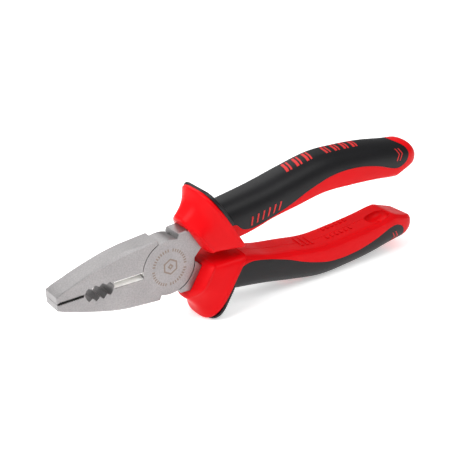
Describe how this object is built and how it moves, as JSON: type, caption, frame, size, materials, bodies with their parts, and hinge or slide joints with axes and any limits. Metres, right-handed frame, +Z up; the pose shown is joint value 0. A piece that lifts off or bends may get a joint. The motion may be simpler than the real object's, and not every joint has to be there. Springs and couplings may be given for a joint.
{
  "type": "lineman pliers",
  "caption": "Combination pliers with flat serrated jaws, pipe grip, side cutters and moulded grips with finger guards; the jaws open on a riveted lap joint.",
  "frame": {"origin": "floor point under the middle of the tool's length and thickness, with the tool standing on the edge of its lower grip", "axes": "+X along the tool from jaw tip to handle ends, Y along the pivot through the thickness, +Z up, from the lower handle to the upper handle"},
  "size_m": [0.18, 0.0252, 0.0572],
  "materials": {
    "lower_lever_steel": "satin, bead blasted",
    "upper_lever_steel": "satin, bead blasted",
    "rivet_steel": "satin, ground flush",
    "lower_core_plastic": "semi-gloss moulded red",
    "upper_core_plastic": "semi-gloss moulded red",
    "lower_sleeve_rubber": "satin soft black",
    "upper_sleeve_rubber": "satin soft black"
  },
  "bodies": {
    "lower_handle": {"lower_handle_lever": "lower_lever_steel", "pivot_rivet": "rivet_steel", "lower_grip_core": "lower_core_plastic", "lower_grip_sleeve": "lower_sleeve_rubber"},
    "upper_handle": {"upper_handle_lever": "upper_lever_steel", "upper_grip_core": "upper_core_plastic", "upper_grip_sleeve": "upper_sleeve_rubber"}
  },
  "joints": [
    {"name": "pivot", "type": "hinge", "parent": "lower_handle", "child": "upper_handle", "pos_m": [-0.04147, 0, 0.02781], "axis": [0, -1, 0], "range_deg": [0, 40]}
  ]
}
